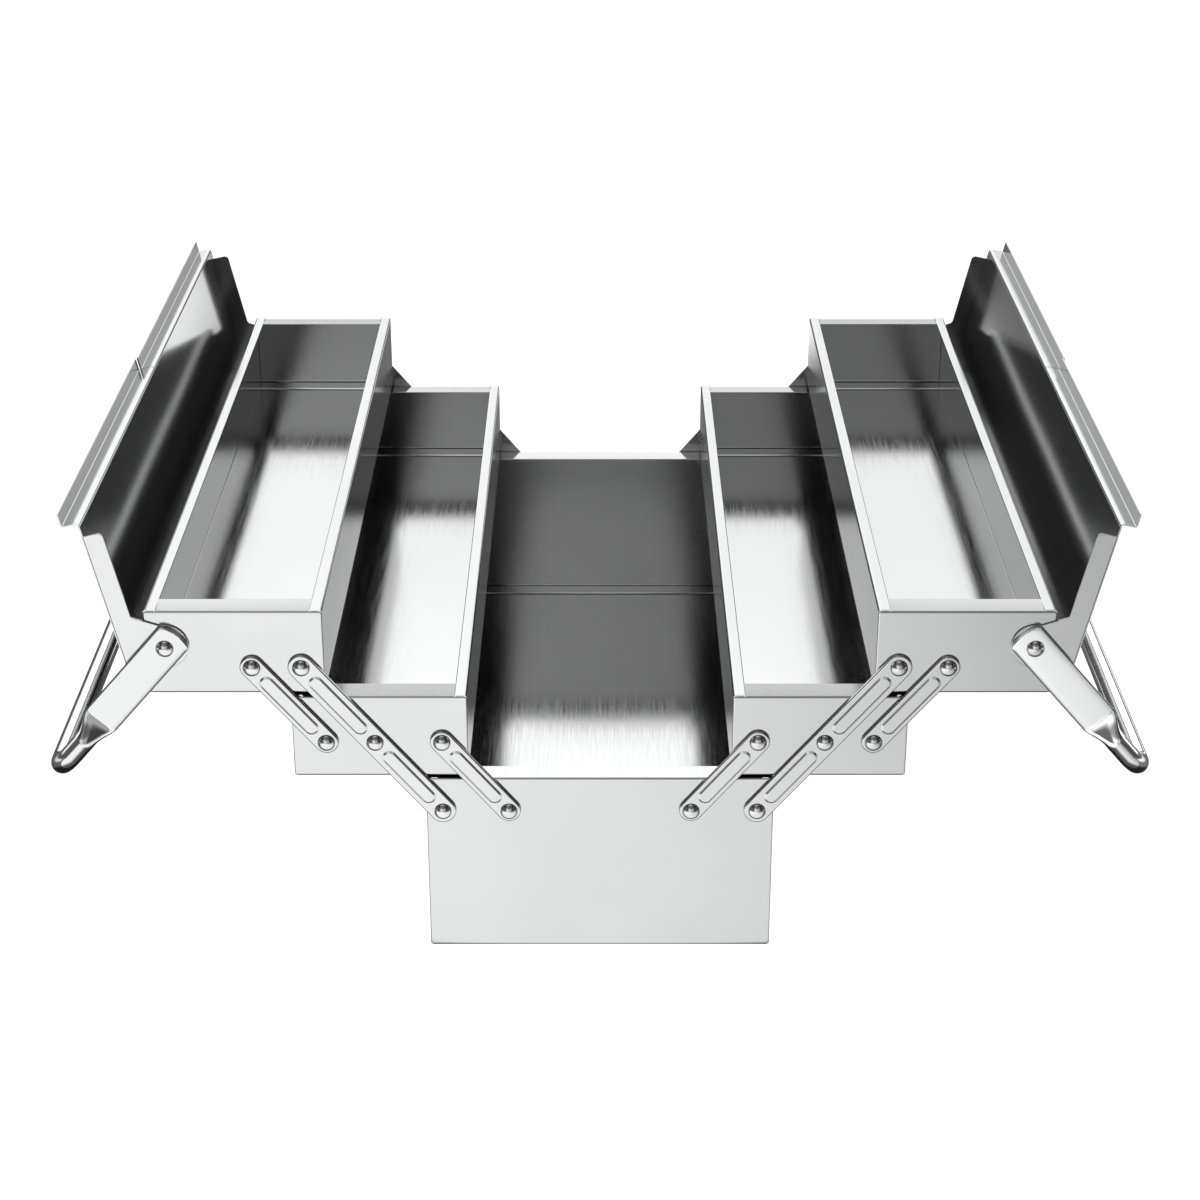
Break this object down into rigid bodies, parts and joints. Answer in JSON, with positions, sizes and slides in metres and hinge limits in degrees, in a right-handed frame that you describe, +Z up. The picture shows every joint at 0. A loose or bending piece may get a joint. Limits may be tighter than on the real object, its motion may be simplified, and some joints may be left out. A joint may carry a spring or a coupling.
{
  "type": "toolbox with tray",
  "caption": "Stainless-steel cantilever toolbox: a base box with stacked trays that swing out on riveted arms, half lids and bail handles.",
  "frame": {"origin": "middle of the underside of the base box", "axes": "+X across the box to the right, +Y from the front end to the rear end, +Z up; the stored pose is fully open"},
  "size_m": [0.6288, 0.538, 0.2774],
  "materials": {
    "box_steel": "bright rolled stainless sheet, near mirror",
    "lid_steel": "bright rolled stainless sheet, mirror on the inside",
    "arm_steel": "pressed stainless strip, satin with polished edges",
    "handle_steel": "polished stainless tube",
    "rivet_steel": "polished domed rivet heads"
  },
  "bodies": {
    "base": {"base_box": "box_steel", "left_front_long_arm_base_rivet": "rivet_steel", "left_front_lower_arm_base_rivet": "rivet_steel", "left_rear_long_arm_base_rivet": "rivet_steel", "left_rear_lower_arm_base_rivet": "rivet_steel", "right_front_long_arm_base_rivet": "rivet_steel", "right_front_lower_arm_base_rivet": "rivet_steel", "right_rear_long_arm_base_rivet": "rivet_steel", "right_rear_lower_arm_base_rivet": "rivet_steel"},
    "left_long_arms": {"left_front_long_arm": "arm_steel", "left_rear_long_arm": "arm_steel"},
    "left_lower_arms": {"left_front_lower_arm": "arm_steel", "left_rear_lower_arm": "arm_steel"},
    "left_upper_arms": {"left_front_upper_arm": "arm_steel", "left_rear_upper_arm": "arm_steel"},
    "left_middle": {"left_middle_tray": "box_steel", "left_front_long_arm_middle_rivet": "rivet_steel", "left_front_lower_arm_middle_rivet": "rivet_steel", "left_front_upper_arm_middle_rivet": "rivet_steel", "left_rear_long_arm_middle_rivet": "rivet_steel", "left_rear_lower_arm_middle_rivet": "rivet_steel", "left_rear_upper_arm_middle_rivet": "rivet_steel"},
    "left_upper": {"left_upper_tray": "box_steel", "left_front_long_arm_upper_rivet": "rivet_steel", "left_front_upper_arm_upper_rivet": "rivet_steel", "left_front_lid_rivet": "rivet_steel", "left_rear_long_arm_upper_rivet": "rivet_steel", "left_rear_upper_arm_upper_rivet": "rivet_steel", "left_rear_lid_rivet": "rivet_steel"},
    "left_lid_body": {"left_lid": "lid_steel"},
    "left_handle_body": {"left_handle": "handle_steel"},
    "right_long_arms": {"right_front_long_arm": "arm_steel", "right_rear_long_arm": "arm_steel"},
    "right_lower_arms": {"right_front_lower_arm": "arm_steel", "right_rear_lower_arm": "arm_steel"},
    "right_upper_arms": {"right_front_upper_arm": "arm_steel", "right_rear_upper_arm": "arm_steel"},
    "right_middle": {"right_middle_tray": "box_steel", "right_front_long_arm_middle_rivet": "rivet_steel", "right_front_lower_arm_middle_rivet": "rivet_steel", "right_front_upper_arm_middle_rivet": "rivet_steel", "right_rear_long_arm_middle_rivet": "rivet_steel", "right_rear_lower_arm_middle_rivet": "rivet_steel", "right_rear_upper_arm_middle_rivet": "rivet_steel"},
    "right_upper": {"right_upper_tray": "box_steel", "right_front_long_arm_upper_rivet": "rivet_steel", "right_front_upper_arm_upper_rivet": "rivet_steel", "right_front_lid_rivet": "rivet_steel", "right_rear_long_arm_upper_rivet": "rivet_steel", "right_rear_upper_arm_upper_rivet": "rivet_steel", "right_rear_lid_rivet": "rivet_steel"},
    "right_lid_body": {"right_lid": "lid_steel"},
    "right_handle_body": {"right_handle": "handle_steel"}
  },
  "joints": [
    {"name": "left_fold", "type": "hinge", "parent": "base", "child": "left_long_arms", "pos_m": [-0.0905, 0, 0.0923], "axis": [0, 1, 0], "range_deg": [0, 80]},
    {"name": "left_lower_arm_swing", "type": "hinge", "parent": "base", "child": "left_lower_arms", "pos_m": [-0.0525, 0, 0.0923], "axis": [0, 1, 0], "range_deg": [0, 80]},
    {"name": "left_middle_tray_level", "type": "hinge", "parent": "left_long_arms", "child": "left_middle", "pos_m": [-0.128, 0, 0.13699], "axis": [0, 1, 0], "range_deg": [-80, 0]},
    {"name": "left_upper_tray_level", "type": "hinge", "parent": "left_long_arms", "child": "left_upper", "pos_m": [-0.1678, 0, 0.18442], "axis": [0, 1, 0], "range_deg": [-80, 0]},
    {"name": "left_upper_arm_swing", "type": "hinge", "parent": "left_middle", "child": "left_upper_arms", "pos_m": [-0.1557, 0, 0.13699], "axis": [0, 1, 0], "range_deg": [0, 80]},
    {"name": "left_lid_close", "type": "hinge", "parent": "left_upper", "child": "left_lid_body", "pos_m": [-0.243, 0, 0.1976], "axis": [0, 1, 0], "range_deg": [0, 103]},
    {"name": "left_handle_lift", "type": "hinge", "parent": "left_lid_body", "child": "left_handle_body", "pos_m": [-0.243, 0, 0.1976], "axis": [0, 1, 0], "range_deg": [0, 90]},
    {"name": "right_fold", "type": "hinge", "parent": "base", "child": "right_long_arms", "pos_m": [0.0905, 0, 0.0923], "axis": [0, -1, 0], "range_deg": [0, 80]},
    {"name": "right_lower_arm_swing", "type": "hinge", "parent": "base", "child": "right_lower_arms", "pos_m": [0.0525, 0, 0.0923], "axis": [0, -1, 0], "range_deg": [0, 80]},
    {"name": "right_middle_tray_level", "type": "hinge", "parent": "right_long_arms", "child": "right_middle", "pos_m": [0.128, 0, 0.13699], "axis": [0, -1, 0], "range_deg": [-80, 0]},
    {"name": "right_upper_tray_level", "type": "hinge", "parent": "right_long_arms", "child": "right_upper", "pos_m": [0.1678, 0, 0.18442], "axis": [0, -1, 0], "range_deg": [-80, 0]},
    {"name": "right_upper_arm_swing", "type": "hinge", "parent": "right_middle", "child": "right_upper_arms", "pos_m": [0.1557, 0, 0.13699], "axis": [0, -1, 0], "range_deg": [0, 80]},
    {"name": "right_lid_close", "type": "hinge", "parent": "right_upper", "child": "right_lid_body", "pos_m": [0.243, 0, 0.1976], "axis": [0, -1, 0], "range_deg": [0, 103]},
    {"name": "right_handle_lift", "type": "hinge", "parent": "right_lid_body", "child": "right_handle_body", "pos_m": [0.243, 0, 0.1976], "axis": [0, -1, 0], "range_deg": [0, 90]}
  ],
  "couplings": [
    {"joint": "left_lower_arm_swing", "follows": "left_fold", "ratio": 1},
    {"joint": "left_middle_tray_level", "follows": "left_fold", "ratio": -1},
    {"joint": "left_upper_tray_level", "follows": "left_fold", "ratio": -1},
    {"joint": "left_upper_arm_swing", "follows": "left_fold", "ratio": 1},
    {"joint": "right_lower_arm_swing", "follows": "right_fold", "ratio": 1},
    {"joint": "right_middle_tray_level", "follows": "right_fold", "ratio": -1},
    {"joint": "right_upper_tray_level", "follows": "right_fold", "ratio": -1},
    {"joint": "right_upper_arm_swing", "follows": "right_fold", "ratio": 1}
  ]
}
